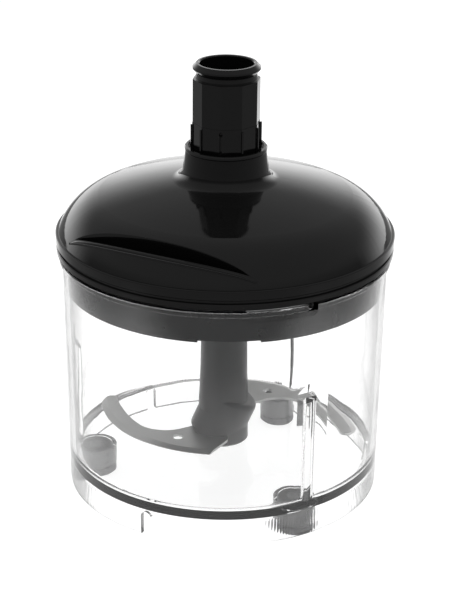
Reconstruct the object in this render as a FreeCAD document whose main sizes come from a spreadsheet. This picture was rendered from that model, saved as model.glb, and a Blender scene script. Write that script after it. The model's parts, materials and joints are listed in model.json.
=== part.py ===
"""Geared chopper attachment for a hand blender: clear bowl, S-blade and gearbox lid.

The frame stands on the rubber feet: z = 0 is the worktop, +Z is up, and the axis of
the blade, the gears and the neck is the Z axis. All lengths are millimetres.
"""
import FreeCAD, Part
import math
import os
import Sketcher

V = FreeCAD.Vector
UP = V(0, 0, 1)

os.makedirs("parts", exist_ok=True)
doc = FreeCAD.newDocument("geared_chopper")

# ---------------------------------------------------------------- driving dimensions
DRIVING = {
    # bowl
    "rim_radius": 75.0,
    "rim_top": 113.5,
    "rim_thickness": 2.6,
    "wall_top_radius": 73.55,
    "wall_foot_radius": 72.1,
    "wall_thickness": 2.4,
    "skirt_bottom": 1.2,
    "floor_top": 16.5,
    "floor_thickness": 3.1,
    "floor_corner": 4.0,
    "boss_top": 23.0,
    "rib_inner_radius": 66.4,
    "rib_top": 68.6,
    "rib_width": 5.5,
    "slot_width": 5.0,
    "slot_top": 13.0,
    "catch_width": 4.6,
    "channel_depth": 1.3,
    "channel_height": 2.9,
    "lock_travel": 22.0,
    # rubber feet
    "foot_circle": 60.0,
    "foot_boss_radius": 9.5,
    "foot_shaft_radius": 7.75,
    "foot_flare_radius": 9.4,
    "foot_boss_bottom": 4.0,
    # blade
    "pin_radius": 2.5,
    "pin_top": 47.0,
    "hub_top": 104.0,
    "hub_bottom": 18.8,
    "hub_top_radius": 10.0,
    "hub_foot_radius": 11.6,
    "hub_bore_radius": 7.6,
    "bush_radius": 5.0,
    "ramp_radius": 12.4,
    "ramp_length": 23.0,
    "ramp_centre": 31.0,
    "ramp_tilt": 23.0,
    "lower_blade_height": 24.0,
    "upper_blade_height": 36.0,
    "blade_thickness": 1.2,
    "blade_edge_radius": 61.3,
    "blade_edge_x": 0.7,
    "blade_edge_y": 32.9,
    "blade_back_radius": 78.5,
    "bevel_width": 3.0,
    # lid shell
    "lid_radius": 76.2,
    "lip_radius": 76.0,
    "lip_bottom": 114.9,
    "band_bottom": 119.3,
    "dome_edge_radius": 75.0,
    "dome_edge": 123.7,
    "shoulder_radius": 57.0,
    "shoulder_height": 140.0,
    "shoulder_curve": 27.5,
    "crown_curve": 230.0,
    "shell_thickness": 2.4,
    "neck_root_radius": 19.2,
    "neck_root": 152.0,
    "neck_root_curve": 5.4,
    "collar_radius": 18.4,
    "collar_top": 162.4,
    "neck_radius": 15.0,
    "neck_foot_radius": 13.0,
    "neck_bore_radius": 11.9,
    "neck_bore_floor": 167.0,
    "neck_top": 200.0,
    "latch_groove_radius": 13.5,
    "latch_groove_height": 195.0,
    "neck_step": 173.6,
    "grip_inner_offset": 61.7,
    "grip_outer_offset": 68.3,
    "grip_floor": 127.0,
    "grip_half_span": 44.4,
    "grip_end_offset": 58.0,
    "grip_lip_width": 1.6,
    "grip_lip_rise": 0.5,
    "post_circle": 39.0,
    "post_radius": 4.0,
    # lid plate
    "plug_radius": 70.6,
    "plug_bottom": 98.2,
    "plate_bottom": 112.0,
    "plate_top": 114.4,
    "bearing_radius": 11.0,
    # gearbox
    "gear_module": 1.0,
    "gear_width": 8.0,
    "gear_bottom": 119.6,
    "sun_teeth": 18,
    "planet_teeth": 18,
    "backlash": 0.16,
    "case_radius": 34.0,
    "case_top": 134.0,
    "shaft_radius": 3.0,
    "stub_radius": 8.0,
    "carrier_radius": 26.0,
    "planet_pin_radius": 2.5,
    "running_gap": 0.05,
}

sheet = doc.addObject("Spreadsheet::Sheet", "sizes")
for row, (alias, value) in enumerate(DRIVING.items(), start=1):
    sheet.set(f"A{row}", alias)
    sheet.set(f"B{row}", str(value))
    sheet.setAlias(f"B{row}", alias)
doc.recompute()


class Size:
    """A length together with the formula that ties it to the sheet of sizes."""

    def __init__(self, value, formula=None):
        self.value = float(value)
        self.formula = formula if formula is not None else f"({value:.10g})"

    def __add__(self, other):
        other = as_size(other)
        return Size(self.value + other.value, f"({self.formula} + {other.formula})")

    def __sub__(self, other):
        other = as_size(other)
        return Size(self.value - other.value, f"({self.formula} - {other.formula})")

    def __mul__(self, other):
        other = as_size(other)
        return Size(self.value * other.value, f"({self.formula} * {other.formula})")

    def __truediv__(self, other):
        other = as_size(other)
        return Size(self.value / other.value, f"({self.formula} / {other.formula})")

    def __neg__(self):
        return Size(-self.value, f"(-1 * {self.formula})")


def as_size(length):
    """A plain number is a size with no alias behind it."""
    return length if isinstance(length, Size) else Size(length)


def cell(alias):
    """The size that the sheet keeps under an alias."""
    return Size(DRIVING[alias], f"sizes.{alias}")


def polar(radius, degrees):
    """The point at a radius and an angle, as two sizes."""
    radius = as_size(radius)
    angle = math.radians(degrees)
    across = Size(radius.value * math.cos(angle), f"({radius.formula} * cos({degrees} deg))")
    along = Size(radius.value * math.sin(angle), f"({radius.formula} * sin({degrees} deg))")
    return across, along


# ---------------------------------------------------------------- modelling helpers
kept = []


def keep(piece, label):
    """Give a finished sub-part its name and list it for writing out."""
    piece.Label = label
    kept.append(piece)
    return piece


def new_body(label):
    body = doc.addObject("PartDesign::Body", label)
    body.Label = label
    return body


def sketch_on(body, role, lift=0, turn=0):
    """A sketch on one of the body's origin planes, lifted off it and turned about Z."""
    sketch = body.newObject("Sketcher::SketchObject", f"{body.Name}_sketch")
    plane = [face for face in body.Origin.OriginFeatures if face.Role == role][0]
    lift = as_size(lift)
    axis = UP if role == "XY_Plane" else V(0, 1, 0)
    sketch.AttachmentSupport = [(plane, "")]
    sketch.MapMode = "FlatFace"
    turned = FreeCAD.Rotation(axis, turn)
    sketch.AttachmentOffset = FreeCAD.Placement(turned.multVec(V(0, 0, lift.value)), turned)
    if turn == 0:
        sketch.setExpression("AttachmentOffset.Base.z", lift.formula)
    return sketch


def pin_point(sketch, geometry, which, across, up):
    """Hold a point of a sketch at its place, by the sheet."""
    for kind, size in (("DistanceX", as_size(across)), ("DistanceY", as_size(up))):
        number = sketch.addConstraint(Sketcher.Constraint(kind, -1, 1, geometry, which, size.value))
        sketch.setExpression(f"Constraints[{number}]", size.formula)


def arc_between(start, end, radius):
    """The short arc from start to end: a positive radius turns left, a negative one right."""
    chord = end - start
    middle = (start + end) * 0.5
    left = V(-chord.y, chord.x, 0).normalize()
    reach = math.sqrt(radius ** 2 - (chord.Length / 2) ** 2)
    centre = middle + left * math.copysign(reach, radius)
    first, last = (start, end) if radius > 0 else (end, start)
    angles = [math.atan2(tip.y - centre.y, tip.x - centre.x) for tip in (first, last)]
    if angles[1] < angles[0]:
        angles[1] += 2 * math.pi
    return Part.ArcOfCircle(Part.Circle(centre, UP, abs(radius)), angles[0], angles[1])


def draw_outline(sketch, points):
    """A closed outline. A point's third value is the radius of the arc that leaves it."""
    corners = [V(as_size(point[0]).value, as_size(point[1]).value, 0) for point in points]
    links = []
    for number, point in enumerate(points):
        start = corners[number]
        end = corners[(number + 1) % len(points)]
        if len(point) == 2:
            edge = sketch.addGeometry(Part.LineSegment(start, end))
            links.append((edge, 1, 2))
        else:
            radius = as_size(point[2])
            edge = sketch.addGeometry(arc_between(start, end, radius.value))
            links.append((edge, 1, 2) if radius.value > 0 else (edge, 2, 1))
    for number, point in enumerate(points):
        edge, first, last = links[number]
        following = links[(number + 1) % len(points)]
        sketch.addConstraint(Sketcher.Constraint("Coincident", edge, last, following[0], following[1]))
    for number, point in enumerate(points):
        edge, first, last = links[number]
        pin_point(sketch, edge, first, point[0], point[1])
        if len(point) == 3:
            size = as_size(point[2])
            bent = size if size.value > 0 else -size
            held = sketch.addConstraint(Sketcher.Constraint("Radius", edge, bent.value))
            sketch.setExpression(f"Constraints[{held}]", bent.formula)


def draw_circle(sketch, across, up, radius):
    radius = as_size(radius)
    centre = V(as_size(across).value, as_size(up).value, 0)
    ring = sketch.addGeometry(Part.Circle(centre, UP, radius.value))
    pin_point(sketch, ring, 3, across, up)
    held = sketch.addConstraint(Sketcher.Constraint("Radius", ring, radius.value))
    sketch.setExpression(f"Constraints[{held}]", radius.formula)


def draw_polygon(sketch, radius, sides, first):
    """A regular polygon about the axis, its first corner at an angle in degrees."""
    draw_outline(sketch, [polar(radius, first + 360 / sides * number) for number in range(sides)])


def feature(body, kind, sketch, **settings):
    """Add a sketch-based feature; a Size is bound to the sheet."""
    made = body.newObject(f"PartDesign::{kind}", f"{body.Name}_{kind.lower()}")
    made.Profile = sketch
    for name, setting in settings.items():
        if isinstance(setting, Size):
            made.setExpression(name, setting.formula)
        else:
            setattr(made, name, setting)
    doc.recompute()
    return made


def pad(body, sketch, length, **settings):
    return feature(body, "Pad", sketch, Length=as_size(length), **settings)


def pocket(body, sketch, length, **settings):
    """A pocket that has to take material away."""
    before = body.Shape.Volume
    made = feature(body, "Pocket", sketch, Length=as_size(length), **settings)
    if body.Shape.Volume > before - 0.01:
        raise RuntimeError(f"{made.Name} cuts nothing")
    return made


def around(body, made, count):
    """Repeat features evenly about the Z axis."""
    ring = body.newObject("PartDesign::PolarPattern", f"{body.Name}_ring")
    ring.Originals = made if isinstance(made, list) else [made]
    axis = [line for line in body.Origin.OriginFeatures if line.Role == "Z_Axis"][0]
    ring.Axis = (axis, [""])
    ring.Angle = 360
    ring.Occurrences = count
    body.Tip = ring
    doc.recompute()
    return ring


def rounded(body, radius, picks):
    """Round the edges that the test picks."""
    tip = body.Tip
    names = [f"Edge{number}" for number, edge in enumerate(tip.Shape.Edges, start=1) if picks(edge)]
    if not names:
        raise RuntimeError(f"no edge to round on {body.Name}")
    made = body.newObject("PartDesign::Fillet", f"{body.Name}_fillet")
    made.Base = (tip, names)
    made.Radius = radius
    body.Tip = made
    doc.recompute()
    return made


def ring_edge(*places):
    """Test for full-circle edges at the given (radius, height) places."""
    def test(edge):
        centre = edge.BoundBox
        radius = centre.XMax
        return any(
            abs(radius - as_size(at).value) < 0.02
            and abs(centre.ZMin - as_size(up).value) < 0.02
            and abs(centre.ZMax - as_size(up).value) < 0.02
            for at, up in places
        )
    return test


def turned(label, points, at=None):
    """A piece turned on a lathe: its half outline swept about the Z axis."""
    body = new_body(label)
    sketch = sketch_on(body, "XZ_Plane")
    draw_outline(sketch, points)
    spun = feature(body, "Revolution", sketch, Angle=360)
    spun.ReferenceAxis = (sketch, ["V_Axis"])
    doc.recompute()
    if at is not None:
        body.Placement = at
    return body


def about_axis(degrees, radius=0.0):
    """The placement that moves a piece out along X and then turns it about the Z axis."""
    spin = FreeCAD.Rotation(UP, degrees)
    return FreeCAD.Placement(spin.multVec(V(radius, 0, 0)), spin)


def ring_points(inner, outer, low, high):
    """The outline of a plain ring."""
    return [(inner, low), (outer, low), (outer, high), (inner, high)]


# ---------------------------------------------------------------- bowl
# Three-fold parts of the bowl are drawn at angle 0 and the bowl is turned to BOWL_TURN.
BOWL_TURN = -58.0
CATCH_TURN = -2.0
FOLDS = 3

rim_under = cell("rim_top") - cell("rim_thickness")
wall_inner_top = cell("wall_top_radius") - cell("wall_thickness")
wall_inner_foot = cell("wall_foot_radius") - cell("wall_thickness")
floor_under = cell("floor_top") - cell("floor_thickness")
pin_seat = cell("floor_top") - 1.7


def make_bowl():
    """Clear moulded bowl: tapered wall, floor, skirt and the ring bosses for the feet."""
    corner = cell("floor_corner")
    body = turned("bowl", [
        (0, floor_under),
        (wall_inner_foot, floor_under),
        (wall_inner_foot, cell("skirt_bottom")),
        (cell("wall_foot_radius"), cell("skirt_bottom")),
        (cell("wall_top_radius"), rim_under),
        (cell("rim_radius"), rim_under),
        (cell("rim_radius"), cell("rim_top")),
        (wall_inner_top, cell("rim_top")),
        (wall_inner_foot + 0.15, cell("floor_top") + corner, -corner),
        (wall_inner_foot + 0.15 - corner, cell("floor_top")),
        (6.5, cell("floor_top")),
        (5.4, cell("boss_top")),
        (cell("pin_radius"), cell("boss_top")),
        (cell("pin_radius"), pin_seat),
        (0, pin_seat),
    ])
    rounded(body, 0.7, ring_edge((cell("rim_radius"), rim_under), (cell("rim_radius"), cell("rim_top")),
                                 (wall_inner_top, cell("rim_top"))))
    rounded(body, 0.8, ring_edge((cell("wall_foot_radius"), cell("skirt_bottom"))))

    bosses = sketch_on(body, "XY_Plane", lift=cell("foot_boss_bottom"))
    draw_circle(bosses, cell("foot_circle"), 0, cell("foot_boss_radius"))
    draw_circle(bosses, cell("foot_circle"), 0, cell("foot_shaft_radius"))
    around(body, pad(body, bosses, floor_under - cell("foot_boss_bottom") + 0.5), FOLDS)

    rib = sketch_on(body, "XY_Plane", lift=cell("floor_top") - 1)
    half = cell("rib_width") / 2
    nose = half * 0.8
    draw_outline(rib, [
        (71, half),
        (cell("rib_inner_radius") + nose, half, nose),
        (cell("rib_inner_radius"), half - nose),
        (cell("rib_inner_radius"), nose - half, nose),
        (cell("rib_inner_radius") + nose, -half),
        (71, -half),
    ])
    rib_pad = pad(body, rib, cell("rib_top") - cell("floor_top") + 1)
    slope = sketch_on(body, "XZ_Plane")
    draw_outline(slope, [
        (cell("rib_inner_radius") - 2, cell("rib_top") - 6),
        (cell("rib_inner_radius") + 3.4, cell("rib_top")),
        (cell("rib_inner_radius") + 3.4, cell("rib_top") + 3),
        (cell("rib_inner_radius") - 2, cell("rib_top") + 3),
    ])
    rib_cut = pocket(body, slope, 8, Midplane=True)
    around(body, [rib_pad, rib_cut], FOLDS)

    slot = sketch_on(body, "YZ_Plane")
    half = cell("slot_width") / 2
    draw_outline(slot, [
        (-half, 0),
        (half, 0),
        (half, cell("slot_top") - half, half * 1.0001),
        (0, cell("slot_top"), half * 1.0001),
        (-half, cell("slot_top") - half),
    ])
    around(body, pocket(body, slot, 80), FOLDS)

    facet = sketch_on(body, "XZ_Plane")
    draw_outline(facet, [
        (cell("wall_foot_radius") + 0.3, 3),
        (cell("wall_foot_radius") - 0.35, 9),
        (cell("wall_foot_radius") + 0.5, 72),
        (cell("wall_foot_radius") + 1.6, 82),
        (77, 82),
        (77, 3),
    ])
    around(body, pocket(body, facet, 40, Midplane=True), FOLDS)

    # bayonet: a bump outside, a gap through the rim and a channel inside the wall
    bump = sketch_on(body, "YZ_Plane", lift=cell("wall_top_radius") + 1.1, turn=CATCH_TURN)
    draw_outline(bump, [
        (-2.4, rim_under + 0.3),
        (-2.4, rim_under, 2.4001),
        (0, rim_under - 2.4, 2.4001),
        (2.4, rim_under),
        (2.4, rim_under + 0.3),
    ])
    around(body, pad(body, bump, 2, Reversed=True), FOLDS)
    gap = sketch_on(body, "XY_Plane", lift=cell("rim_top") + 1, turn=CATCH_TURN)
    half = cell("catch_width") / 2
    draw_outline(gap, [(69, -half), (77, -half), (77, half), (69, half)])
    around(body, pocket(body, gap, cell("rim_thickness") + 1), FOLDS)
    half_gap = math.degrees(DRIVING["catch_width"] / 2 / DRIVING["wall_top_radius"])
    channel = sketch_on(body, "XZ_Plane", turn=CATCH_TURN + half_gap)
    draw_outline(channel, ring_points(cell("wall_top_radius") - 4, wall_inner_top + cell("channel_depth"),
                                      rim_under - cell("channel_height"), rim_under))
    before = body.Shape.Volume
    groove = body.newObject("PartDesign::Groove", "bowl_groove")
    groove.Profile = channel
    groove.ReferenceAxis = (channel, ["V_Axis"])
    groove.setExpression("Angle", (cell("lock_travel") + 2.5).formula)
    groove.Reversed = True
    doc.recompute()
    if body.Shape.Volume > before - 0.01:
        raise RuntimeError("the bayonet channel cuts nothing")
    around(body, groove, FOLDS)
    body.Placement = about_axis(BOWL_TURN)
    return keep(body, "bowl")


def make_feet():
    """Rubber feet: each plug is pushed up into its ring boss and stands proud of the skirt."""
    flare = cell("foot_flare_radius")
    shaft = cell("foot_shaft_radius")
    collar = cell("foot_boss_bottom")
    for name, fold in (("foot_front", 0), ("foot_back", 1), ("foot_left", 2)):
        body = turned(name, [
            (0, 0.8),
            (5.6, 0.8),
            (6.4, 0),
            (flare - 0.9, 0),
            (flare, 0.9),
            (flare, collar - 0.6, 0.6001),
            (flare - 0.6, collar),
            (shaft, collar),
            (shaft, floor_under - 0.6),
            (shaft - 0.6, floor_under),
            (3.2, floor_under),
            (2.4, floor_under - 1),
            (0, floor_under - 1),
        ], at=about_axis(BOWL_TURN + 120 * fold, DRIVING["foot_circle"]))
        keep(body, name)


def make_pivot_pin():
    """Steel pin pressed into the boss of the bowl; the blade turns on it."""
    radius = cell("pin_radius")
    keep(turned("pivot_pin", [
        (0, pin_seat),
        (radius, pin_seat),
        (radius, cell("pin_top") - 2),
        (radius - 1.2, cell("pin_top")),
        (0, cell("pin_top")),
    ]), "pivot_pin")


# ---------------------------------------------------------------- blade
bush_low = cell("boss_top") + 0.3
bush_high = cell("pin_top") - 1.5
socket_floor = cell("pin_top") + 5
socket_ribs = 3


def blade_points():
    """Sickle outline: convex cutting edge outside, hollow back, root inside the hub."""
    edge = cell("blade_edge_radius")
    centre = (cell("blade_edge_x"), cell("blade_edge_y"))

    def on_edge(degrees):
        across, along = polar(edge, degrees)
        return centre[0] + across, centre[1] + along

    return [
        (2, -15),
        (*on_edge(-96.3), -edge),
        (*on_edge(-170.3), -9),
        (-56.5, 30.4, -3),
        (-52.2, 27.5, cell("blade_back_radius")),
        (-38.8, -1.2, 15.8),
        (-20, -4),
        (-12, 0.5),
        (-8, 8),
        (3, 8),
    ]


def make_blade(label, height, turn):
    """Stamped steel sickle with a bevelled leading edge and a locating hole."""
    thickness = cell("blade_thickness")
    low = height - thickness / 2
    body = new_body(f"{label}_blank")
    plan = sketch_on(body, "XY_Plane", lift=low)
    draw_outline(plan, blade_points())
    pad(body, plan, thickness)
    holes = sketch_on(body, "XY_Plane", lift=low + thickness)
    draw_circle(holes, 0, 0, 8.7)
    draw_circle(holes, -21, -12.5, 2.5)
    pocket(body, holes, thickness * 2)
    edge = cell("blade_edge_radius")
    cone = turned(f"{label}_bevel", [
        (0, low - 1),
        (edge + 0.02, low - 1),
        (edge + 0.02, low + 0.3),
        (edge - cell("bevel_width"), low + thickness),
        (0, low + thickness),
    ], at=FreeCAD.Placement(V(DRIVING["blade_edge_x"], DRIVING["blade_edge_y"], 0), FreeCAD.Rotation()))
    ground = doc.addObject("Part::Common", label)
    ground.Base = body
    ground.Tool = cone
    ground.Placement = about_axis(turn)
    doc.recompute()
    return keep(ground, label)


def make_hub(blades):
    """Moulded hub: a tall tube, a slanted boss that carries both blades, a drive socket."""
    tube = turned("hub_tube", [
        (0, cell("hub_bottom")),
        (cell("hub_foot_radius") - 1, cell("hub_bottom")),
        (cell("hub_foot_radius"), cell("hub_bottom") + 1),
        (cell("hub_foot_radius"), 40),
        (11, 52),
        (10.3, 88),
        (cell("hub_top_radius"), cell("hub_top") - 1),
        (cell("hub_top_radius") - 1, cell("hub_top")),
        (0, cell("hub_top")),
    ])
    ramp = doc.addObject("Part::Cylinder", "hub_ramp")
    ramp.setExpression("Radius", "sizes.ramp_radius")
    ramp.setExpression("Height", "sizes.ramp_length")
    lean = FreeCAD.Rotation(V(0, 1, 0), DRIVING["ramp_tilt"])
    base = V(0, 0, DRIVING["ramp_centre"]) - lean.multVec(V(0, 0, DRIVING["ramp_length"] / 2))
    ramp.Placement = FreeCAD.Placement(base, lean)
    doc.recompute()
    soft = doc.addObject("Part::Fillet", "hub_ramp_rounded")
    soft.Base = ramp
    rims = [number for number, edge in enumerate(ramp.Shape.Edges, start=1)
            if hasattr(edge.Curve, "Radius")]
    soft.Edges = [(number, 2.5, 2.5) for number in rims]
    under = doc.addObject("Part::Cylinder", "hub_under_side")
    under.setExpression("Radius", "sizes.ramp_radius * 2")
    under.setExpression("Height", "sizes.hub_bottom")
    trimmed = doc.addObject("Part::Cut", "hub_ramp_trimmed")
    trimmed.Base = soft
    trimmed.Tool = under
    solid = doc.addObject("Part::Fuse", "hub_solid")
    solid.Base = tube
    solid.Tool = trimmed
    bore = turned("hub_bore", [
        (0, 10),
        (cell("hub_bore_radius") - 0.2, 10),
        (cell("hub_bore_radius") - 0.2, bush_low + 1),
        (cell("bush_radius"), bush_low + 1),
        (cell("bush_radius"), bush_high),
        (cell("pin_radius") + 1, bush_high),
        (cell("pin_radius") + 1, cell("pin_top") + 1.5),
        (0, cell("pin_top") + 1.5),
    ])
    socket = new_body("hub_socket")
    mouth = sketch_on(socket, "XY_Plane", lift=socket_floor)
    draw_circle(mouth, 0, 0, cell("hub_bore_radius"))
    pad(socket, mouth, cell("hub_top") - socket_floor + 5)
    rib = sketch_on(socket, "XY_Plane", lift=cell("hub_top") - 12)
    draw_outline(rib, [(4.6, -1.3), (9, -1.3), (9, 1.3), (4.6, 1.3)])
    around(socket, pocket(socket, rib, 10.5, Reversed=True), socket_ribs)
    cutters = doc.addObject("Part::MultiFuse", "hub_cutters")
    cutters.Shapes = [bore, socket]
    hollow = doc.addObject("Part::Cut", "hub_hollow")
    hollow.Base = solid
    hollow.Tool = cutters
    slots = doc.addObject("Part::MultiFuse", "hub_blade_slots")
    slots.Shapes = blades
    hub = doc.addObject("Part::Cut", "blade_hub")
    hub.Base = hollow
    hub.Tool = slots
    doc.recompute()
    return keep(hub, "blade_hub")


def make_hub_bush():
    """Sintered bush in the hub, running on the pin."""
    bore = cell("pin_radius") + cell("running_gap")
    keep(turned("hub_bush", ring_points(bore, cell("bush_radius"), bush_low + 1, bush_high)), "hub_bush")


# ---------------------------------------------------------------- lid shell
GRIP_TURNS = (-118.0, 62.0)
POST_TURNS = (0.0, 90.0, 180.0, 270.0)
NECK_SIDES = 10
NECK_CORNER = 9.0
WEB = 5.6
collar_recess = 1.5
neck_foot = cell("collar_top") - 5.4


def dome(shift=0.0):
    """Points of the dome from its edge to the neck, moved inwards by a shift."""
    drop = cell("shell_thickness") * shift
    return [
        (cell("dome_edge_radius") - drop, cell("dome_edge") - drop * 0.6,
         cell("shoulder_curve") - drop),
        (cell("shoulder_radius") - drop * 0.27, cell("shoulder_height") - drop,
         cell("crown_curve") - drop),
        (cell("neck_root_radius") + 4.8 - drop * 0.15, cell("neck_root") - 4.95 - drop),
    ]


def grip_outline(grow_in, grow_out, grow_span):
    """A lens in plan between two arcs through the same pair of points, grown on each side."""
    end = DRIVING["grip_end_offset"]
    inner = DRIVING["grip_inner_offset"] - grow_in
    outer = DRIVING["grip_outer_offset"] + grow_out
    half = DRIVING["grip_half_span"] + grow_span

    def bend(offset):
        rise = offset - end
        return (half ** 2 + rise ** 2) / (2 * rise)

    return [(end, -half, bend(outer)), (end, half, -bend(inner))]


def extruded_face(label, points, low, high, degrees):
    """A straight block over an outline, turned about the Z axis."""
    body = new_body(label)
    plan = sketch_on(body, "XY_Plane", lift=low)
    draw_outline(plan, points)
    pad(body, plan, as_size(high) - low)
    body.Placement = about_axis(degrees)
    return body


def make_lid_cover():
    """Gloss dome with its grips, band and collar, hollowed from below."""
    collar = cell("collar_radius")
    lip = cell("lip_radius")
    crown = dome()
    outside = turned("cover_outside", [
        (0, cell("lip_bottom")),
        (lip - 0.5, cell("lip_bottom")),
        (lip, cell("lip_bottom") + 0.5),
        (lip, cell("band_bottom") - 2.1),
        (lip - 0.4, cell("band_bottom") - 1.7),
        (lip - 1.2, cell("band_bottom") - 1.6),
        (lip - 1.2, cell("band_bottom") - 0.2),
        (cell("lid_radius") - 0.3, cell("band_bottom")),
        (cell("lid_radius"), cell("band_bottom") + 0.4),
        (cell("lid_radius"), cell("dome_edge") - 0.6, 0.6001),
        (cell("lid_radius") - 0.6, cell("dome_edge")),
        *crown[:2],
        (*crown[2], -cell("neck_root_curve")),
        (cell("neck_root_radius"), cell("neck_root")),
        (collar - 0.3, cell("collar_top") - 1.8),
        (collar, cell("collar_top") - 1.3),
        (collar, cell("collar_top") - 0.5),
        (collar - 0.5, cell("collar_top")),
        (collar - 1.5, cell("collar_top")),
        (collar - 1.7, cell("collar_top") - collar_recess),
        (0, cell("collar_top") - collar_recess),
    ])

    rim = DRIVING["grip_lip_width"]
    lens = grip_outline(0, 0, 0)
    lip_lens = grip_outline(-2, rim, rim)
    wall_lens = grip_outline(2.5, rim + 1, rim + 1)
    raised = turned("cover_raised_dome", [
        (40, cell("grip_floor") - 2),
        (cell("dome_edge_radius") - 0.3, cell("grip_floor") - 2),
        (cell("dome_edge_radius") - 0.3, cell("dome_edge") + 1.8, cell("shoulder_curve")),
        (cell("shoulder_radius"), cell("shoulder_height") + cell("grip_lip_rise")),
        (40, cell("shoulder_height") + cell("grip_lip_rise") + 3.6),
    ])
    lips = []
    pockets = []
    for number, turn in enumerate(GRIP_TURNS):
        block = extruded_face(f"grip_block_{number}", lip_lens, cell("grip_floor") - 2, 146, turn)
        lip_piece = doc.addObject("Part::Common", f"grip_lip_{number}")
        lip_piece.Base = block
        lip_piece.Tool = raised
        lips.append(lip_piece)
        pockets.append(extruded_face(f"grip_pocket_{number}", lens, cell("grip_floor"), 150, turn))
    with_lips = doc.addObject("Part::MultiFuse", "cover_with_lips")
    with_lips.Shapes = [outside, *lips]
    scooped = doc.addObject("Part::Cut", "cover_scooped")
    scooped.Base = with_lips
    scoops = doc.addObject("Part::MultiFuse", "cover_scoops")
    scoops.Shapes = pockets
    scooped.Tool = scoops

    inside = turned("cover_inside", [
        (0, 100),
        (lip - cell("shell_thickness"), 100),
        (lip - cell("shell_thickness"), cell("dome_edge") - 2),
        *dome(1.0),
        (cell("neck_root_radius") - 2.9, cell("neck_root") - 3),
        (cell("neck_root_radius") - 3.4, neck_foot - 1),
        (cell("neck_foot_radius"), neck_foot + 0.5),
        (cell("neck_foot_radius"), cell("collar_top") + 1),
        (0, cell("collar_top") + 1),
    ])
    fills = []
    for number, turn in enumerate(GRIP_TURNS):
        fills.append(extruded_face(f"grip_wall_{number}", wall_lens, cell("grip_floor") - 2, 150, turn))
    posts = new_body("cover_posts")
    feet = sketch_on(posts, "XY_Plane", lift=cell("plate_top") + 2.6)
    draw_circle(feet, cell("post_circle"), 0, cell("post_radius"))
    draw_circle(feet, cell("post_circle"), 0, 1.6)
    around(posts, pad(posts, feet, 40), len(POST_TURNS))
    kept_inside = doc.addObject("Part::MultiFuse", "cover_kept_inside")
    kept_inside.Shapes = [*fills, posts]
    cavity = doc.addObject("Part::Cut", "cover_cavity")
    cavity.Base = inside
    cavity.Tool = kept_inside
    cover = doc.addObject("Part::Cut", "lid_cover")
    cover.Base = scooped
    cover.Tool = cavity
    doc.recompute()
    return keep(cover, "lid_cover")


def make_drive_neck():
    """Ten-sided neck that takes the hand blender, pushed down into the collar of the dome."""
    radius = cell("neck_radius")
    foot = cell("neck_foot_radius")
    seat = cell("collar_top") - collar_recess
    groove = cell("latch_groove_height")
    bore = cell("neck_bore_radius")
    web = cell("neck_bore_floor") - WEB
    top = cell("neck_top")
    body = turned("drive_neck", [
        (cell("bush_radius") + 1, web),
        (foot - 3, web),
        (foot - 3, neck_foot),
        (foot, neck_foot),
        (foot, seat),
        (radius - 1.2, seat),
        (radius - 1.2, groove - 3),
        (cell("latch_groove_radius"), groove - 1.2),
        (cell("latch_groove_radius"), groove + 0.6),
        (radius, top - 2.4),
        (radius, top - 1.7),
        (radius - 1.7, top),
        (bore + 0.5, top),
        (bore, top - 0.5),
        (bore, cell("neck_bore_floor")),
        (cell("bush_radius") + 1, cell("neck_bore_floor")),
    ])
    flats = sketch_on(body, "XY_Plane", lift=seat)
    draw_polygon(flats, radius, NECK_SIDES, NECK_CORNER)
    draw_circle(flats, 0, 0, bore + 0.8)
    pad(body, flats, groove - 2 - seat)
    step = sketch_on(body, "XY_Plane", lift=seat)
    draw_polygon(step, radius + 0.15, NECK_SIDES, NECK_CORNER)
    draw_circle(step, 0, 0, bore + 0.8)
    pad(body, step, cell("neck_step") - seat)
    fin = sketch_on(body, "XY_Plane", lift=seat, turn=NECK_CORNER)
    draw_outline(fin, [(radius - 1, -0.4), (radius + 0.9, -0.4), (radius + 0.9, 0.4), (radius - 1, 0.4)])
    around(body, pad(body, fin, cell("neck_step") - seat - 1), NECK_SIDES)
    slit = sketch_on(body, "XZ_Plane", lift=radius + 1, turn=NECK_CORNER - 18)
    slit_top = cell("neck_step") - 3
    draw_outline(slit, [(-0.5, seat + 2), (0.5, seat + 2), (0.5, slit_top), (-0.5, slit_top)])
    draw_circle(slit, 0, slit_top + 1, 0.85)
    pocket(body, slit, 2.2)
    return keep(body, "drive_neck")


def make_lid_seal():
    """Soft silicone ring that lies on the rim of the bowl, around the plug of the lid."""
    inner = cell("plug_radius") + 0.3
    outer = cell("lip_radius") - cell("shell_thickness") - 0.4
    low = cell("rim_top") + 0.1
    keep(turned("lid_seal", [
        (inner, low + 0.5),
        (inner + 0.5, low),
        (outer - 0.5, low),
        (outer, low + 0.5),
        (outer, low + 1.3),
        (outer - 0.5, low + 1.7),
        (inner + 0.5, low + 1.7),
        (inner, low + 1.3),
    ]), "lid_seal")


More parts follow.
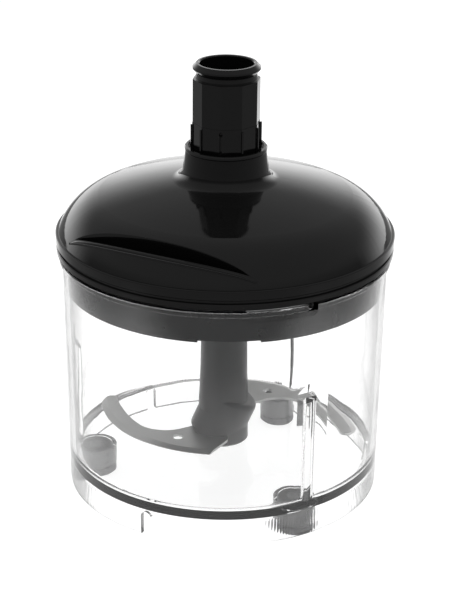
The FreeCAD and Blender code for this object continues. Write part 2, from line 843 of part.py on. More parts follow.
# ---------------------------------------------------------------- lid plate
def make_lid_plate():
    """Inner plate of the lid: plug ring, three bayonet lugs, bearing tube, screw holes."""
    plug = cell("plug_radius")
    low = cell("plate_bottom")
    high = cell("plate_top")
    bearing = cell("bearing_radius")
    edge = cell("lip_radius") - cell("shell_thickness") - 0.3
    ledge = cell("rim_top") + 2.1
    body = turned("lid_plate", [
        (bearing, low - 6),
        (bearing + 2.4, low - 6),
        (bearing + 2.4, low),
        (plug - 2.2, low),
        (plug - 2.2, cell("plug_bottom") + 0.3),
        (plug - 1.9, cell("plug_bottom")),
        (plug - 0.3, cell("plug_bottom")),
        (plug, cell("plug_bottom") + 0.3),
        (plug, ledge),
        (edge, ledge),
        (edge, ledge + 2),
        (plug - 2.2, ledge + 2),
        (plug - 2.2, high),
        (bearing, high),
    ])
    notch = sketch_on(body, "XY_Plane", lift=cell("plug_bottom") - 1)
    across = 15.2
    draw_outline(notch, [(-11, -75), (across, -75), (across, -60), (-11, -60)])
    pocket(body, notch, 2, Reversed=True)
    holes = sketch_on(body, "XY_Plane", lift=high)
    draw_circle(holes, cell("post_circle"), 0, 1.7)
    around(body, pocket(body, holes, 3), len(POST_TURNS))
    lug = sketch_on(body, "XY_Plane", lift=rim_under - cell("channel_height") + 0.4,
                    turn=BOWL_TURN + CATCH_TURN)
    half = cell("catch_width") / 2 - 0.5
    reach = wall_inner_top + cell("channel_depth") - 0.3
    draw_outline(lug, [(plug - 1, -half), (reach, -half), (reach, half), (plug - 1, half)])
    around(body, pad(body, lug, cell("channel_height") - 0.8), FOLDS)
    keep(body, "lid_plate")


def make_case_screws():
    """Four self-tapping screws: up through the plate and the gearbox into the cover."""
    head = cell("plate_bottom")
    screws = []
    for turn in POST_TURNS:
        body = turned("screw", [
            (0, head - 1.2),
            (0.9, head - 1.2),
            (0.9, head - 2.2),
            (2.6, head - 2.2),
            (3.3, head - 1.5),
            (3.3, head),
            (1.6, head),
            (1.6, head + 14),
            (0, head + 16),
        ], at=about_axis(turn, DRIVING["post_circle"]))
        screws.append(body)
    group = doc.addObject("Part::Compound", "case_screws")
    group.Links = screws
    doc.recompute()
    keep(group, "case_screws")


# ---------------------------------------------------------------- gearbox
# A planetary reduction: the hand blender turns the sun, the ring stands still in its
# case, and the carrier turns the blade at sun / (sun + ring) of the sun's speed.
PLANETS = 3
PRESSURE_ANGLE = math.radians(20)
sun_teeth = int(DRIVING["sun_teeth"])
planet_teeth = int(DRIVING["planet_teeth"])
ring_teeth = sun_teeth + 2 * planet_teeth
centre_distance = DRIVING["gear_module"] * (sun_teeth + planet_teeth) / 2
gear_low = cell("gear_bottom")
gear_high = gear_low + cell("gear_width")


def involute(angle):
    return math.tan(angle) - angle


def tooth_half_angle(teeth, radius, thinning):
    """Half the angle that a tooth fills at a radius, for involute flanks."""
    pitch = DRIVING["gear_module"] * teeth / 2
    base = pitch * math.cos(PRESSURE_ANGLE)
    lean = math.acos(min(1.0, base / radius))
    return (math.pi / 2 / teeth - thinning / 2 / pitch
            + involute(PRESSURE_ANGLE) - involute(lean))


def gear_wire(teeth, root, tip, thinning, first):
    """Closed toothed outline; first is the angle of the middle of the first tooth."""
    def at(radius, angle):
        return V(radius * math.cos(angle), radius * math.sin(angle), 0)

    edges = []
    middle = (max(root, DRIVING["gear_module"] * teeth / 2 * math.cos(PRESSURE_ANGLE)) + tip) / 2
    step = 2 * math.pi / teeth
    for tooth in range(teeth):
        centre = first + tooth * step
        low, mid, high = (tooth_half_angle(teeth, radius, thinning) for radius in (root, middle, tip))
        after = centre + step
        edges += [
            Part.Arc(at(root, centre - low), at(middle, centre - mid), at(tip, centre - high)),
            Part.Arc(at(tip, centre - high), at(tip, centre), at(tip, centre + high)),
            Part.Arc(at(tip, centre + high), at(middle, centre + mid), at(root, centre + low)),
            Part.Arc(at(root, centre + low), at(root, centre + step / 2), at(root, after - low)),
        ]
    return Part.Wire([edge.toShape() for edge in edges])


def toothed(label, teeth, root, tip, thinning, first, bore, inside=False):
    """A spur gear, or with inside a ring gear whose outer radius is the bore."""
    outline = gear_wire(teeth, root, tip, thinning, first)
    ring = Part.Wire([Part.Circle(V(0, 0, 0), UP, bore).toShape()])
    faces = [ring, outline] if inside else [outline, ring]
    blank = Part.Face(faces[0]).cut(Part.Face(faces[1]))
    solid = blank.Faces[0].extrude(V(0, 0, DRIVING["gear_width"]))
    gear = doc.addObject("Part::Feature", label)
    gear.Shape = solid
    return keep(gear, label)


def make_gears():
    """Sun, planets and ring, in mesh at rest with a little backlash."""
    module = DRIVING["gear_module"]
    gap = DRIVING["backlash"] / 2
    low = DRIVING["gear_bottom"]
    pitch = module * sun_teeth / 2
    sun = toothed("sun_gear", sun_teeth, pitch - 1.2 * module, pitch + module, gap, 0.0,
                  DRIVING["shaft_radius"])
    sun.Placement = FreeCAD.Placement(V(0, 0, low), FreeCAD.Rotation())
    ring_pitch = module * ring_teeth / 2
    ring = toothed("ring_gear", ring_teeth, ring_pitch - module, ring_pitch + 1.2 * module, -gap,
                   math.pi / ring_teeth, DRIVING["case_radius"] - 2.5, inside=True)
    ring.Placement = FreeCAD.Placement(V(0, 0, low), FreeCAD.Rotation())
    pitch = module * planet_teeth / 2
    for number in range(PLANETS):
        azimuth = 360 / PLANETS * number
        # sun and ring both have a tooth on the line of centres, so the planet has gaps there
        gear = toothed(f"planet_gear_{number + 1}", planet_teeth, pitch - 1.2 * module, pitch + module,
                       gap, math.pi + math.pi / planet_teeth,
                       DRIVING["planet_pin_radius"] + DRIVING["running_gap"])
        place = about_axis(azimuth, centre_distance)
        place.Base.z = low
        gear.Placement = place


def make_gear_case():
    """Moulded case around the gears, with a tube for the bush of the input shaft."""
    outer = cell("case_radius")
    wall = outer - 2.5
    low = cell("plate_top")
    top = cell("case_top")
    tube = cell("bush_radius") + 1
    body = turned("gear_case", [
        (wall, low),
        (cell("post_circle") + 6, low),
        (cell("post_circle") + 6, low + 2.5),
        (outer, low + 2.5),
        (outer, top - 1),
        (outer - 1, top),
        (tube + 3, top),
        (tube + 3, top + 10),
        (tube, top + 10),
        (tube, top - 2.5),
        (wall, top - 2.5),
    ])
    holes = sketch_on(body, "XY_Plane", lift=low + 2.5)
    draw_circle(holes, cell("post_circle"), 0, 1.7)
    around(body, pocket(body, holes, 3), len(POST_TURNS))
    keep(body, "gear_case")


def make_input():
    """Input shaft with its sun gear, the coupling in the neck, a washer and a clip."""
    shaft = cell("shaft_radius")
    bush = cell("bush_radius") + 1
    slack = cell("running_gap")
    case_top = cell("case_top")
    keep(turned("input_shaft", [
        (0, gear_low - 0.1),
        (shaft - 0.4, gear_low - 0.1),
        (shaft, gear_low + 0.3),
        (shaft, case_top + 10.3),
        (shaft - 0.6, case_top + 10.3),
        (shaft - 0.6, case_top + 11.3),
        (shaft, case_top + 11.3),
        (shaft, 175),
        (0, 175),
    ]), "input_shaft")
    keep(turned("lower_input_bush", ring_points(shaft + slack, bush, case_top - 2.5, case_top + 10)),
         "lower_input_bush")
    seat = cell("neck_bore_floor")
    keep(turned("upper_input_bush", ring_points(shaft + slack, bush, seat - WEB, seat)),
         "upper_input_bush")
    keep(turned("input_seal", [
        (shaft + slack, seat + 1.4),
        (shaft + 1.4, seat),
        (bush + 2.5, seat),
        (bush + 2.5, seat + 2),
        (shaft + slack, seat + 2),
    ]), "input_seal")
    keep(turned("thrust_washer", ring_points(shaft + 0.02, bush, case_top - 3.3, case_top - 2.6)),
         "thrust_washer")
    keep(turned("shaft_clip", ring_points(shaft - 0.6, shaft + 2, case_top + 10.4, case_top + 11.2)),
         "shaft_clip")

    coupling = turned("drive_coupling", [
        (0, seat + 2.6),
        (7, seat + 2.6),
        (7.5, seat + 3.1),
        (7.5, seat + 20.5),
        (7, seat + 21),
        (0, seat + 21),
    ])
    bore = sketch_on(coupling, "XY_Plane", lift=seat + 2.6)
    draw_circle(bore, 0, 0, shaft)
    pocket(coupling, bore, 175 - seat.value - 2.6, Reversed=True)
    star = sketch_on(coupling, "XY_Plane", lift=seat + 21)
    draw_polygon(star, 4.6, 6, 0)
    pocket(coupling, star, 11)
    groove = sketch_on(coupling, "XY_Plane", lift=seat + 21)
    draw_outline(groove, [(3.6, -0.9), (6.2, -0.9), (6.2, 0.9), (3.6, 0.9)])
    around(coupling, pocket(coupling, groove, 11), 6)
    keep(coupling, "drive_coupling")


def make_carrier():
    """Planet carrier: disc, output stub with drive dogs, three pillars, cap and pins."""
    disc_top = gear_low - 0.4
    disc_low = disc_top - 4
    stub = cell("stub_radius")
    stub_low = cell("plate_bottom") - 6.5
    body = turned("planet_carrier", [
        (0, stub_low),
        (stub, stub_low),
        (stub, disc_low),
        (cell("carrier_radius"), disc_low),
        (cell("carrier_radius"), disc_top),
        (0, disc_top),
    ])
    dog = sketch_on(body, "XY_Plane", lift=cell("hub_top") - 9, turn=60)
    draw_outline(dog, [(4, -1.6), (7, -1.6), (7, 1.6), (4, 1.6)])
    around(body, pad(body, dog, stub_low - cell("hub_top") + 9), FOLDS)
    pillar = sketch_on(body, "XY_Plane", lift=disc_top, turn=60)
    draw_circle(pillar, 21, 0, 3)
    around(body, pad(body, pillar, cell("gear_width") + 0.8), PLANETS)
    spigot = sketch_on(body, "XY_Plane", lift=gear_high, turn=60)
    draw_circle(spigot, 21, 0, 1.8)
    around(body, pad(body, spigot, 2.9), PLANETS)
    seats = sketch_on(body, "XY_Plane", lift=disc_top)
    draw_circle(seats, centre_distance, 0, cell("planet_pin_radius"))
    around(body, pocket(body, seats, 3), PLANETS)
    keep(body, "planet_carrier")

    cap_low = gear_high + 0.4
    cap = turned("carrier_cap", ring_points(10.6, cell("carrier_radius") - 0.5, cap_low, cap_low + 2.3))
    holes = sketch_on(cap, "XY_Plane", lift=cap_low)
    draw_circle(holes, centre_distance, 0, cell("planet_pin_radius"))
    around(cap, pocket(cap, holes, 3, Reversed=True), PLANETS)
    joints = sketch_on(cap, "XY_Plane", lift=cap_low, turn=60)
    draw_circle(joints, 21, 0, 1.8)
    around(cap, pocket(cap, joints, 3, Reversed=True), PLANETS)
    keep(cap, "carrier_cap")

    for number in range(PLANETS):
        name = f"planet_pin_{number + 1}"
        keep(turned(name, [
            (0, disc_top - 3),
            (cell("planet_pin_radius"), disc_top - 3),
            (cell("planet_pin_radius"), cap_low + 2.3),
            (0, cap_low + 2.3),
        ], at=about_axis(360 / PLANETS * number, centre_distance)), name)


def make_output_bearing():
    """Bush and lip seal of the carrier's output stub, in the tube of the lid plate."""
    low = cell("plate_bottom") - 6
    inner = cell("stub_radius") + cell("running_gap")
    keep(turned("output_seal", ring_points(inner, cell("bearing_radius"), low, low + 1.6)), "output_seal")
    keep(turned("output_bush", ring_points(inner, cell("bearing_radius"), low + 1.6, cell("plate_top"))),
         "output_bush")


# ---------------------------------------------------------------- build and write
make_bowl()
make_feet()
make_pivot_pin()
blades = [
    make_blade("lower_blade", cell("lower_blade_height"), 0),
    make_blade("upper_blade", cell("upper_blade_height"), 180),
]
make_hub(blades)
make_hub_bush()
make_lid_seal()
make_lid_cover()
make_drive_neck()
make_lid_plate()
make_case_screws()
make_gear_case()
make_gears()
make_input()
make_carrier()
make_output_bearing()
doc.recompute()

for made in doc.Objects:
    if "Invalid" in made.State or "Error" in made.State:
        raise RuntimeError(f"{made.Name} failed: {made.State}")
for piece in kept:
    if piece.Shape.isNull() or not piece.Shape.isValid():
        raise RuntimeError(f"{piece.Label} has no valid shape")
for piece in kept:
    piece.Shape.exportStep(f"parts/{piece.Label}.step")
    box = piece.Shape.optimalBoundingBox(False)
    print(f"{piece.Label:18s} {len(piece.Shape.Solids)} solid(s) {piece.Shape.Volume / 1000:8.2f} cm3"
          f"  z {box.ZMin:6.1f} to {box.ZMax:6.1f}  reach {max(box.XMax, -box.XMin):5.1f}")
print(len(kept), "sub-parts")
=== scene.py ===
# %% [markdown]
# A chopper attachment for a hand blender: a clear bowl on rubber feet, a sickle-blade rotor on a
# steel pin, and a glossy black lid with a planetary gearbox under its dome. The solid model is
# already built, so this notebook only gives it its looks: camera, light, and a finish for each
# material that the real object is made of. Everything is in metres, with +Z up.

# %% Load the frame
import json
import math

import bpy
from mathutils import Matrix, Vector


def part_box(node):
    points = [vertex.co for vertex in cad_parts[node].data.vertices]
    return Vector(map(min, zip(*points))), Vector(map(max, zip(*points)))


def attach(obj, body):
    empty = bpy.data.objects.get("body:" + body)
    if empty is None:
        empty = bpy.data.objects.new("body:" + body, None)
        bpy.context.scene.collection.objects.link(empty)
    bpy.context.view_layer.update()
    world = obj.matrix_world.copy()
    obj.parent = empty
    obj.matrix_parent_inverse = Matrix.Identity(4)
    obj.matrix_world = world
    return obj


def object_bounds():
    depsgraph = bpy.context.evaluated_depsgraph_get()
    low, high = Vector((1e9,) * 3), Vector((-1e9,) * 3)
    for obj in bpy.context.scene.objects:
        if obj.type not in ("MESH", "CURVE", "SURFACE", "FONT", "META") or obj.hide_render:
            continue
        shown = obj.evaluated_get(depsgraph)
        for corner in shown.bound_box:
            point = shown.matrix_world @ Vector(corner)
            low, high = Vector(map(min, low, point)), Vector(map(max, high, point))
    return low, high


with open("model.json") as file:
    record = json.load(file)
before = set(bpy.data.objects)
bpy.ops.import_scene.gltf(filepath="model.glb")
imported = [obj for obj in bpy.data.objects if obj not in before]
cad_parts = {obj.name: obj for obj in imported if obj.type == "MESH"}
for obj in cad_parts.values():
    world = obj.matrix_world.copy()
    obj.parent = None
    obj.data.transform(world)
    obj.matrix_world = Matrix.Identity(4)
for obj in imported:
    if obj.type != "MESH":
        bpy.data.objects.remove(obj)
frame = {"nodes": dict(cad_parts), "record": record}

cad_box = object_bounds()
low, high = cad_box
height = high[2] - low[2]
width = high[0] - low[0]
print(f"{len(frame['nodes'])} nodes, {width * 1000:.1f} mm across, {height * 1000:.1f} mm high")

# %% [markdown]
# A product shot of a see-through bowl wants a long lens from a little above, so that the rim and
# the floor of the bowl show as ellipses and the sides stay nearly upright. The camera could be
# aimed with a Track To constraint. A plain rotation is used instead, because the object stands a
# fraction of a degree off upright in the frame, which needs a small roll about the view axis.

# %% Camera
LENS = 107.6                     # mm, on the usual 36 mm sensor along the longer side
PITCH = math.radians(22.82)      # looking down
ROLL = math.radians(0.57)
STAND_OFF = 3.785 * height       # from the axis of the bowl to the camera, along the floor
EYE_HEIGHT = 2.033 * height
SIDE_STEP = 0.0011 * height

camera = bpy.data.objects.new("camera", bpy.data.cameras.new("camera"))
camera.data.lens = LENS
camera.data.sensor_width = 36.0
camera.data.clip_start = 0.01
camera.location = (SIDE_STEP, -STAND_OFF, EYE_HEIGHT)
turn = Matrix.Rotation(math.pi / 2 - PITCH, 3, "X") @ Matrix.Rotation(ROLL, 3, "Z")
camera.rotation_euler = turn.to_euler()
bpy.context.scene.collection.objects.link(camera)
bpy.context.scene.camera = camera
print(f"camera {STAND_OFF * 1000:.0f} mm out and {EYE_HEIGHT * 1000:.0f} mm up")

# %% [markdown]
# Three small helpers carry the whole notebook. Finish colours are easy to read as sRGB hex values,
# but the renderer works in linear light, so one function converts them. One function adds a node
# to a tree, with its settings and whatever feeds its sockets. One turns a real size in millimetres
# into the scale that a texture needs.

# %% Helpers
def linear(hex_colour):
    """An sRGB hex colour as linear light, with full alpha."""
    channels = [int(hex_colour[place:place + 2], 16) / 255 for place in (1, 3, 5)]
    light = [c / 12.92 if c <= 0.04045 else ((c + 0.055) / 1.055) ** 2.4 for c in channels]
    return (*light, 1.0)


def add(tree, kind, inputs=None, **settings):
    """A node of the tree. An input is either a value or the socket that feeds it."""
    node = tree.nodes.new(kind)
    for name, value in settings.items():
        setattr(node, name, value)
    for name, value in (inputs or {}).items():
        if isinstance(value, bpy.types.NodeSocket):
            tree.links.new(value, node.inputs[name])
        else:
            node.inputs[name].default_value = value
    return node


def per(size_mm):
    """Texture scale whose features are about this many millimetres across."""
    return 1000.0 / size_mm


def new_finish(name):
    """An empty material with an output, and the object's own coordinates in metres."""
    finish = bpy.data.materials.new(name)
    finish.use_nodes = True
    tree = finish.node_tree
    tree.nodes.clear()
    output = add(tree, "ShaderNodeOutputMaterial")
    place = add(tree, "ShaderNodeTexCoord").outputs["Object"]
    return finish, tree, output, place


def mixed(tree, factor, first, second):
    """A blend of two hex colours by a factor socket, as a colour socket."""
    blend = add(tree, "ShaderNodeMix", {"Factor": factor}, data_type="RGBA")
    ends = [socket for socket in blend.inputs if socket.type == "RGBA"]
    for end, colour in zip(ends, (first, second)):
        end.default_value = linear(colour)
    return [socket for socket in blend.outputs if socket.type == "RGBA"][0]


print("mid grey #808080 is", round(linear("#808080")[0], 3), "in linear light")

# %% [markdown]
# The floor is a white paper sweep over a light table. A clear bowl shows what stands behind it, so
# the paper has to be one even white across the view. An evenly lit floor everywhere would do that
# too, but then the clear wall mirrors white from all sides and its outline is lost. So the table
# ends just outside the main view, and past it the paper fades to its own unlit grey. Views from
# the side and from behind show that grey.

# %% Floor
FLOOR_REACH = 14 * height
TABLE_EDGE = {"across": (0.16, 0.34), "front": (-0.12, -0.26)}   # full light, then none, in metres

floor_mesh = bpy.data.meshes.new("floor")
corners = [(x * FLOOR_REACH, y * FLOOR_REACH, low[2]) for x, y in ((-1, -1), (1, -1), (1, 1), (-1, 1))]
floor_mesh.from_pydata(corners, [], [(0, 1, 2, 3)])
floor = bpy.data.objects.new("floor", floor_mesh)
bpy.context.scene.collection.objects.link(floor)
paper, tree, output, place = new_finish("white_paper_sweep")
ground = add(tree, "ShaderNodeSeparateXYZ", {"Vector": place})
side = add(tree, "ShaderNodeMath", {0: ground.outputs["X"]}, operation="ABSOLUTE")
lit_across = add(tree, "ShaderNodeMapRange", {
    "Value": side.outputs[0], "From Min": TABLE_EDGE["across"][0], "From Max": TABLE_EDGE["across"][1],
    "To Min": 1.0, "To Max": 0.0}, interpolation_type="SMOOTHSTEP")
lit_front = add(tree, "ShaderNodeMapRange", {
    "Value": ground.outputs["Y"], "From Min": TABLE_EDGE["front"][1], "From Max": TABLE_EDGE["front"][0],
    "To Min": 0.0, "To Max": 1.0}, interpolation_type="SMOOTHSTEP")
lit = add(tree, "ShaderNodeMath", {
    0: lit_across.outputs["Result"], 1: lit_front.outputs["Result"]}, operation="MULTIPLY")
sheet = add(tree, "ShaderNodeBsdfPrincipled", {
    "Base Color": linear("#b8b8b8"), "Roughness": 0.9, "Specular IOR Level": 0.0,
    "Emission Color": linear("#ffffff"), "Emission Strength": lit.outputs[0]})
tree.links.new(sheet.outputs[0], output.inputs["Surface"])
floor.data.materials.append(paper)
print(f"floor {2 * FLOOR_REACH:.1f} m square")

# %% [markdown]
# Gloss black and clear plastic show nothing but what they mirror. The sky is therefore a band of
# white around the horizon that is brightest behind the object, like a lit backdrop, and falls off
# to a dim grey ceiling: the far edge of the dome then fades to white while its crown and its near
# side stay dark. It spans only what the view needs, so the clear wall mirrors dimmer paper at its
# edges and keeps its outline. A soft box hangs overhead, and is hidden from mirrors so that it
# leaves no blot on the dome.

# %% Backdrop and lights
BEHIND = 1.9                     # brightness of the band behind the object
IN_FRONT = 0.14                  # and on the camera's side
CEILING = 0.34
BAND = (0.15, 0.80)              # +Y part of a direction where the band begins, and is full
HORIZON = math.radians(3)        # the band is full up to here
OVERHEAD = math.radians(30)      # and above this there is only ceiling

world = bpy.data.worlds.new("studio")
bpy.context.scene.world = world
world.use_nodes = True
tree = world.node_tree
tree.nodes.clear()
direction = add(tree, "ShaderNodeTexCoord").outputs["Generated"]
compass = add(tree, "ShaderNodeSeparateXYZ", {"Vector": direction})
band = add(tree, "ShaderNodeMapRange", {
    "Value": compass.outputs["Y"], "From Min": BAND[0], "From Max": BAND[1],
    "To Min": IN_FRONT, "To Max": BEHIND}, interpolation_type="SMOOTHSTEP")
falloff = add(tree, "ShaderNodeMapRange", {
    "Value": compass.outputs["Z"], "From Min": math.sin(HORIZON),
    "From Max": math.sin(OVERHEAD), "To Min": band.outputs["Result"],
    "To Max": CEILING}, interpolation_type="SMOOTHSTEP")
sky = add(tree, "ShaderNodeBackground", {"Color": linear("#ffffff"), "Strength": falloff.outputs["Result"]})
tree.links.new(sky.outputs[0], add(tree, "ShaderNodeOutputWorld").inputs["Surface"])

lamp = bpy.data.lights.new("overhead", "AREA")
lamp.shape = "SQUARE"
lamp.size = 2.4
lamp.energy = 14.0
box = bpy.data.objects.new("overhead", lamp)
box.location = (0.0, 0.5, 1.9)
away = box.location - Vector((0.0, 0.1, 0.0))
box.rotation_euler = away.to_track_quat("Z", "Y").to_euler()
box.visible_glossy = False
bpy.context.scene.collection.objects.link(box)
bpy.context.scene.view_settings.view_transform = "Standard"
print("band", BEHIND, "behind and", IN_FRONT, "in front, ceiling", CEILING)

# %% [markdown]
# The bowl is injection-moulded SAN, a stiff clear plastic with an index of refraction of 1.57. A
# mix of glossy and transparent shaders would be quicker, but it would not bend what is seen through
# the corner of the floor and the ribs, which is where a clear bowl gets its dark and bright lines.
# So it is real transmission. Lamps could not light the inside through it, so lamp rays alone pass
# straight through a Transparent shader. A Layer Weight node darkens the tint towards the rim of the
# shape, as painted shade: it draws the dark outline that the wall shows where it is seen edge-on.
# Moulding leaves a faint waviness, about a centimetre long. Below the floor the skirt is fluted
# with fine upright grooves.

# %% Clear moulded SAN
SKIRT_TOP = 0.0134               # underside of the bowl's floor
SKIRT_SHARE = 0.96               # radius of the skirt, as a share of the widest part of the bowl
FLUTE_PITCH = 1.4                # mm, grooves around the skirt

clear_san, tree, output, place = new_finish("clear_moulded_san")
wave = add(tree, "ShaderNodeTexNoise", {"Vector": place, "Scale": per(14), "Detail": 1.0})
spot = add(tree, "ShaderNodeSeparateXYZ", {"Vector": place})
around = add(tree, "ShaderNodeMath", {0: spot.outputs["Y"], 1: spot.outputs["X"]}, operation="ARCTAN2")
skirt_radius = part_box("bowl")[1][0] * SKIRT_SHARE
flutes_in_turn = round(2 * math.pi * skirt_radius * 1000 / FLUTE_PITCH)
flute = add(tree, "ShaderNodeMath", {
    0: around.outputs[0], 1: float(flutes_in_turn)}, operation="MULTIPLY")
groove = add(tree, "ShaderNodeMath", {0: flute.outputs[0]}, operation="SINE")
below = add(tree, "ShaderNodeMath", {0: spot.outputs["Z"], 1: SKIRT_TOP - 0.001}, operation="LESS_THAN")
cut = add(tree, "ShaderNodeMath", {0: groove.outputs[0], 1: below.outputs[0]}, operation="MULTIPLY")
waviness = add(tree, "ShaderNodeBump", {"Height": wave.outputs["Fac"], "Distance": 0.0002, "Strength": 0.25})
fluting = add(tree, "ShaderNodeBump", {
    "Height": cut.outputs[0], "Distance": 0.00005, "Strength": 0.6, "Normal": waviness.outputs["Normal"]})
# Painted shade: the tint goes from clear to near black where the wall is seen edge-on, drawing its dark
# outline.
edge_on = add(tree, "ShaderNodeLayerWeight", {"Blend": 0.5})
painted_edge_shade = add(tree, "ShaderNodeMapRange", {
    "Value": edge_on.outputs["Facing"], "From Min": 0.56, "From Max": 0.93})
tint = mixed(tree, painted_edge_shade.outputs["Result"], "#fefefe", "#161818")
body = add(tree, "ShaderNodeBsdfPrincipled", {
    "Base Color": tint, "Transmission Weight": 1.0, "IOR": 1.57, "Roughness": 0.008,
    "Normal": fluting.outputs["Normal"]})
lamps_pass = add(tree, "ShaderNodeBsdfTransparent", {"Color": linear("#f2f4f4")})
ray = add(tree, "ShaderNodeLightPath")
shell = add(tree, "ShaderNodeMixShader", {
    0: ray.outputs["Is Shadow Ray"], 1: body.outputs[0], 2: lamps_pass.outputs[0]})
tree.links.new(shell.outputs[0], output.inputs["Surface"])
print("skirt has", flutes_in_turn, "flutes")

# %% [markdown]
# The cover is black ABS, moulded against a polished steel cavity. Its diffuse colour is nearly
# nothing: the eye sees only the clear mirror of its skin, with an index of refraction of 1.5. A
# moulded skin is never as flat as glass, so a slow waviness bends the reflections a little, and
# handling leaves faint smears that show as small changes of roughness and a few specks of dust.

# %% Polished black ABS
polished_abs, tree, output, place = new_finish("polished_black_abs")
swell = add(tree, "ShaderNodeTexNoise", {"Vector": place, "Scale": per(22), "Detail": 1.0})
skin = add(tree, "ShaderNodeBump", {"Height": swell.outputs["Fac"], "Distance": 0.0004, "Strength": 0.12})
smear = add(tree, "ShaderNodeTexNoise", {"Vector": place, "Scale": per(9), "Detail": 4.0, "Roughness": 0.6})
polish = add(tree, "ShaderNodeMapRange", {
    "Value": smear.outputs["Fac"], "From Min": 0.35, "From Max": 0.7, "To Min": 0.06, "To Max": 0.12})
speck = add(tree, "ShaderNodeTexVoronoi", {"Vector": place, "Scale": per(5)})
dust = add(tree, "ShaderNodeMapRange", {
    "Value": speck.outputs["Distance"], "From Min": 0.0, "From Max": 0.035, "To Min": 1.0, "To Max": 0.0})
black = mixed(tree, dust.outputs["Result"], "#141414", "#3a3a3a")
cover = add(tree, "ShaderNodeBsdfPrincipled", {
    "Base Color": black, "IOR": 1.5, "Specular IOR Level": 0.42,
    "Roughness": polish.outputs["Result"], "Normal": skin.outputs["Normal"]})
tree.links.new(cover.outputs[0], output.inputs["Surface"])
print("cover mirror roughness 0.06 to 0.12")

# %% [markdown]
# Four more mouldings differ only in colour, gloss and grain, so they share one recipe. A mould that
# was spark eroded prints a fine pebble on the plastic, a fraction of a millimetre across. It breaks
# the reflections up into a soft satin sheen. A Noise texture at the size of the pebbles drives the
# bump, and a much larger one gives the slightly cloudy colour that pigmented plastic has.

# %% Spark-eroded plastics
def grained_plastic(name, colour, roughness, pebble_mm, relief_mm, ior=1.5):
    """A moulded plastic with a pebble grain of a real size."""
    finish, tree, output, place = new_finish(name)
    pebble = add(tree, "ShaderNodeTexNoise", {"Vector": place, "Scale": per(pebble_mm), "Detail": 2.0})
    relief = add(tree, "ShaderNodeBump", {
        "Height": pebble.outputs["Fac"], "Distance": relief_mm / 1000, "Strength": 1.0})
    cloud = add(tree, "ShaderNodeTexNoise", {"Vector": place, "Scale": per(12), "Detail": 3.0})
    shade = add(tree, "ShaderNodeHueSaturation", {"Color": linear(colour)})
    value = add(tree, "ShaderNodeMapRange", {"Value": cloud.outputs["Fac"], "To Min": 0.9, "To Max": 1.1})
    tree.links.new(value.outputs["Result"], shade.inputs["Value"])
    worn = add(tree, "ShaderNodeMapRange", {
        "Value": cloud.outputs["Fac"], "From Min": 0.3, "From Max": 0.7,
        "To Min": roughness - 0.04, "To Max": roughness + 0.05})
    skin = add(tree, "ShaderNodeBsdfPrincipled", {
        "Base Color": shade.outputs["Color"], "Roughness": worn.outputs["Result"], "IOR": ior,
        "Normal": relief.outputs["Normal"]})
    tree.links.new(skin.outputs[0], output.inputs["Surface"])
    return finish


plate_pp = grained_plastic("moulded_grey_polypropylene", "#1c1c1d", 0.24, 0.6, 0.006, ior=1.49)
hub_pom = grained_plastic("moulded_dark_grey_acetal", "#2b2b2c", 0.36, 0.5, 0.010, ior=1.48)
case_nylon = grained_plastic("glass_filled_nylon", "#3a3a3c", 0.55, 0.7, 0.016, ior=1.53)
gear_pom = grained_plastic("natural_acetal", "#e6e2d6", 0.33, 0.5, 0.004, ior=1.48)
print("four grained plastics")

# %% [markdown]
# The feet are soft thermoplastic rubber and the seals are silicone. Both are dull, because their
# skin scatters light on a fine tacky texture, and silicone keeps a softer sheen than rubber. Dust
# clings to them, which lifts the colour in patches.

# %% Rubber and silicone
def elastomer(name, colour, dusty, roughness, sheen):
    """A soft rubber with clinging dust."""
    finish, tree, output, place = new_finish(name)
    dust = add(tree, "ShaderNodeTexNoise", {
        "Vector": place, "Scale": per(3), "Detail": 5.0, "Roughness": 0.65})
    settle = add(tree, "ShaderNodeMapRange", {
        "Value": dust.outputs["Fac"], "From Min": 0.45, "From Max": 0.8})
    tint = mixed(tree, settle.outputs["Result"], colour, dusty)
    tack = add(tree, "ShaderNodeTexNoise", {"Vector": place, "Scale": per(0.8), "Detail": 2.0})
    relief = add(tree, "ShaderNodeBump", {"Height": tack.outputs["Fac"], "Distance": 0.00002})
    skin = add(tree, "ShaderNodeBsdfPrincipled", {
        "Base Color": tint, "Roughness": roughness, "IOR": 1.47, "Sheen Weight": sheen,
        "Normal": relief.outputs["Normal"]})
    tree.links.new(skin.outputs[0], output.inputs["Surface"])
    return finish


foot_rubber = elastomer("thermoplastic_rubber", "#3c3c3e", "#505052", 0.62, 0.15)
seal_silicone = elastomer("moulded_silicone", "#2c2c2e", "#3c3c3e", 0.48, 0.05)
print("two elastomers")

# %% [markdown]
# The blades are stamped from stainless sheet and ground on a belt, so they carry fine parallel
# scratches. Metal shows its colour only in what it mirrors. A Noise texture stretched fifty
# times along one axis makes the scratches, in both the roughness and the bump. Real belt marks are
# finer than the render can show, so they are drawn 0.3 mm apart.

# %% Ground and turned metals
def ground_metal(name, colour, roughness, mark_mm, stretch, relief_mm):
    """A metal with straight machining marks, stretched by three factors along X, Y and Z."""
    finish, tree, output, place = new_finish(name)
    along = add(tree, "ShaderNodeMapping", {"Vector": place, "Scale": stretch})
    marks = add(tree, "ShaderNodeTexNoise", {
        "Vector": along.outputs["Vector"], "Scale": per(mark_mm), "Detail": 3.0, "Roughness": 0.7})
    relief = add(tree, "ShaderNodeBump", {"Height": marks.outputs["Fac"], "Distance": relief_mm / 1000})
    rough = add(tree, "ShaderNodeMapRange", {
        "Value": marks.outputs["Fac"], "From Min": 0.3, "From Max": 0.7,
        "To Min": roughness - 0.06, "To Max": roughness + 0.08})
    metal = add(tree, "ShaderNodeBsdfPrincipled", {
        "Base Color": linear(colour), "Metallic": 1.0, "Roughness": rough.outputs["Result"],
        "Normal": relief.outputs["Normal"]})
    tree.links.new(metal.outputs[0], output.inputs["Surface"])
    return finish


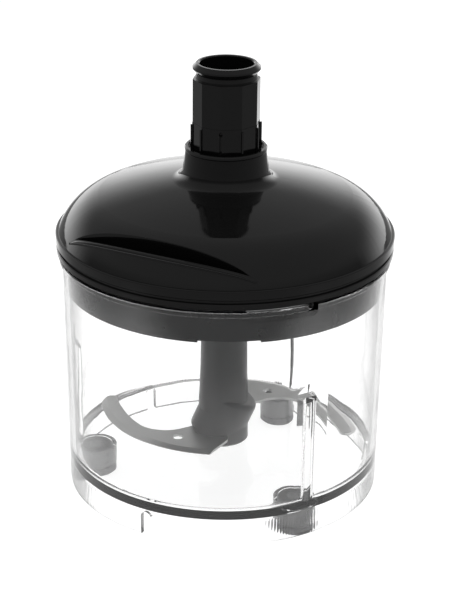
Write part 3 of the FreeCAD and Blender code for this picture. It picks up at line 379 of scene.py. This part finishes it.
blade_steel = ground_metal("ground_stainless_steel", "#a9a9a8", 0.36, 0.3, (0.02, 1.0, 1.0), 0.004)
shaft_steel = ground_metal("turned_stainless_steel", "#c8c8c6", 0.24, 0.3, (0.02, 0.02, 1.0), 0.003)
bush_bronze = ground_metal("sintered_bronze", "#b08a52", 0.45, 0.4, (1.0, 1.0, 1.0), 0.020)
screw_zinc = ground_metal("bright_zinc_plate", "#d2d4d6", 0.22, 0.5, (0.3, 0.3, 1.0), 0.003)
print("four metals")

# %% [markdown]
# Each grip pocket of the lid ends, on its outer side, in a rolled lip that fingertips pull against.
# It is thinner than anything else on the cover, and it runs over a doubly curved dome. It could be
# a profile swept in the solid model. Here it is a curve with a round bevel: its points are found by
# dropping rays onto the cover along the pocket's outer edge, and its radius swells in the middle
# and dies away towards both ends, as a rolled lip does.

# %% Rolled lips of the grip pockets
LIP_RADIUS = 0.0010
LIP_SUNK = 0.25                  # share of its radius that the lip is sunk into the cover
LIP_END = 0.35                   # radius at its ends, as a share of the full one
GRIP_EDGE = 0.0690               # from the axis to the lip, in the middle of the pocket
GRIP_TIP = 0.0580                # the same at the pocket's ends
GRIP_SPAN = 0.0455               # from the middle to an end
POINTS = 25


def rolled_lip(name, azimuth):
    """A round bead laid on the cover, along the outer edge of one pocket."""
    cover_solid = frame["nodes"]["lid_cover"]
    rise = GRIP_EDGE - GRIP_TIP
    bend = (GRIP_SPAN ** 2 + rise ** 2) / (2 * rise)
    aim = math.radians(azimuth)
    curve = bpy.data.curves.new(name, "CURVE")
    curve.dimensions = "3D"
    curve.bevel_depth = LIP_RADIUS
    curve.bevel_resolution = 6
    line = curve.splines.new("NURBS")
    line.points.add(POINTS - 1)
    for number, point in enumerate(line.points):
        share = 2 * number / (POINTS - 1) - 1
        across = share * GRIP_SPAN
        out = GRIP_EDGE - bend + math.sqrt(bend ** 2 - across ** 2)
        x = out * math.cos(aim) - across * math.sin(aim)
        y = out * math.sin(aim) + across * math.cos(aim)
        landing = cover_solid.ray_cast((x, y, high[2]), (0, 0, -1))[1]
        point.co = (x, y, landing[2] - LIP_SUNK * LIP_RADIUS, 1.0)
        point.radius = LIP_END + (1 - LIP_END) * math.sqrt(1 - share ** 2)
    line.order_u = 4
    line.use_endpoint_u = True
    curve.materials.append(polished_abs)
    bead = bpy.data.objects.new(name, curve)
    bpy.context.scene.collection.objects.link(bead)
    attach(bead, "lid")


for name, azimuth in (("front_grip_lip", -118), ("back_grip_lip", 62)):
    rolled_lip(name, azimuth)
    print(name, "laid at azimuth", azimuth)

# %% [markdown]
# Each solid of the model takes the finish of what it is made of. The record already names a
# material slot for every solid, so the slots are looked up there and each is given its finish.

# %% Give every solid its finish
finishes = {
    "clear_plastic": clear_san,
    "cover_plastic": polished_abs,
    "plate_plastic": plate_pp,
    "hub_plastic": hub_pom,
    "case_plastic": case_nylon,
    "gear_plastic": gear_pom,
    "foot_rubber": foot_rubber,
    "seal_rubber": seal_silicone,
    "blade_steel": blade_steel,
    "shaft_steel": shaft_steel,
    "bush_bronze": bush_bronze,
    "screw_steel": screw_zinc,
}
for entry in frame["record"]["subparts"]:
    solid = frame["nodes"][entry["node"]]
    for slot in solid.material_slots:
        slot.material = finishes[entry["material_slot"]]
